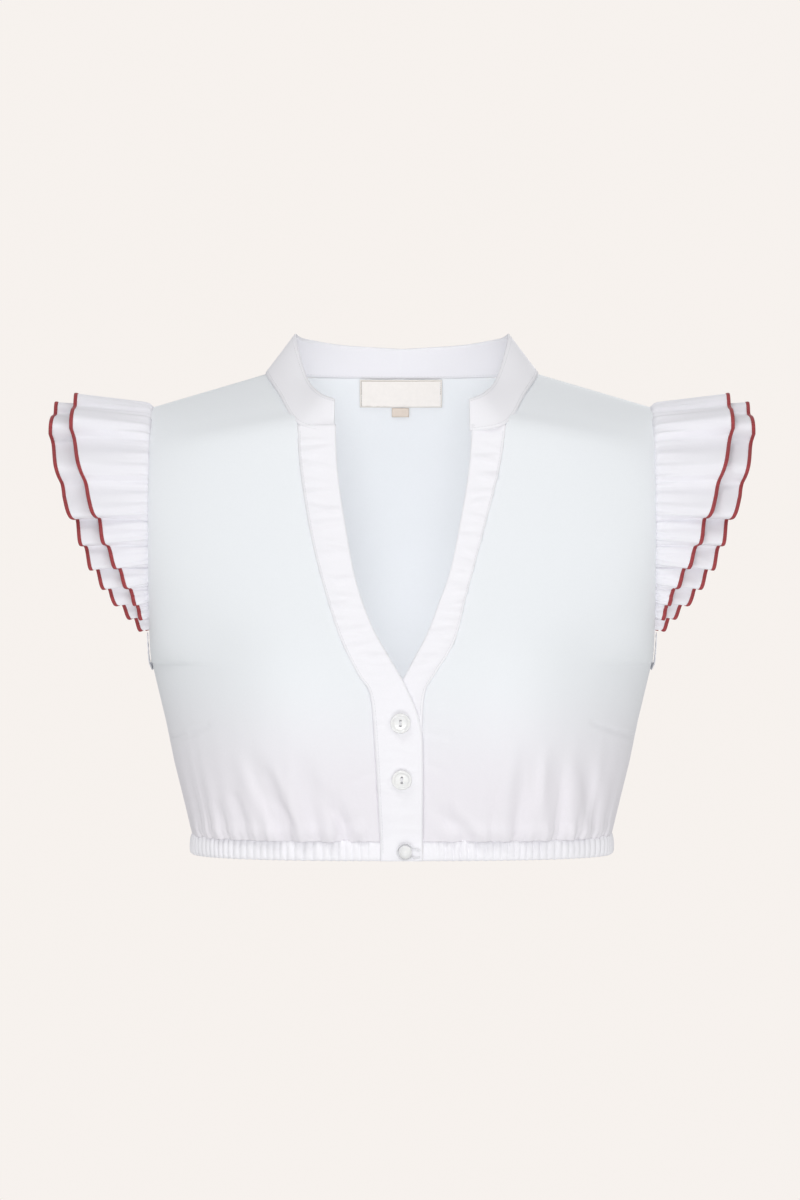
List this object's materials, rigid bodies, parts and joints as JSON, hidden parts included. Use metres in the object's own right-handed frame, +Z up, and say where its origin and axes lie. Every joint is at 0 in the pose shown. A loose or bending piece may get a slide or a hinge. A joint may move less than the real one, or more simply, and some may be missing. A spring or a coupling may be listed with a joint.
{
  "type": "dirndl blouse",
  "caption": "Cropped white cotton dirndl blouse with a stand collar, V neck, buttoned placket, two-layer flutter sleeves and a gathered hem.",
  "frame": {"origin": "midway between the two shoulder seams, where the wearer's shoulders carry the blouse", "axes": "+Z up, -Y to the front, +X to the wearer's left"},
  "size_m": [0.502, 0.2206, 0.3719],
  "materials": {
    "white_poplin": "matt woven cotton",
    "button_resin": "polished",
    "elastic_cord": "matt",
    "woven_label": "satin woven",
    "woven_tab": "satin woven",
    "red_edging": "overlocked thread"
  },
  "bodies": {
    "root": {"back": "white_poplin", "front_right": "white_poplin", "front_left": "white_poplin", "collar_stand": "white_poplin", "band_right": "white_poplin", "band_left": "white_poplin", "hem_casing": "white_poplin", "sleeve_right_upper": "white_poplin", "sleeve_right_lower": "white_poplin", "sleeve_left_upper": "white_poplin", "sleeve_left_lower": "white_poplin", "armhole_binding_right": "white_poplin", "armhole_binding_left": "white_poplin", "button_upper": "button_resin", "button_lower": "button_resin", "hem_button": "button_resin", "hem_loop": "elastic_cord", "neck_label": "woven_label", "size_tab": "woven_tab"}
  },
  "joints": []
}
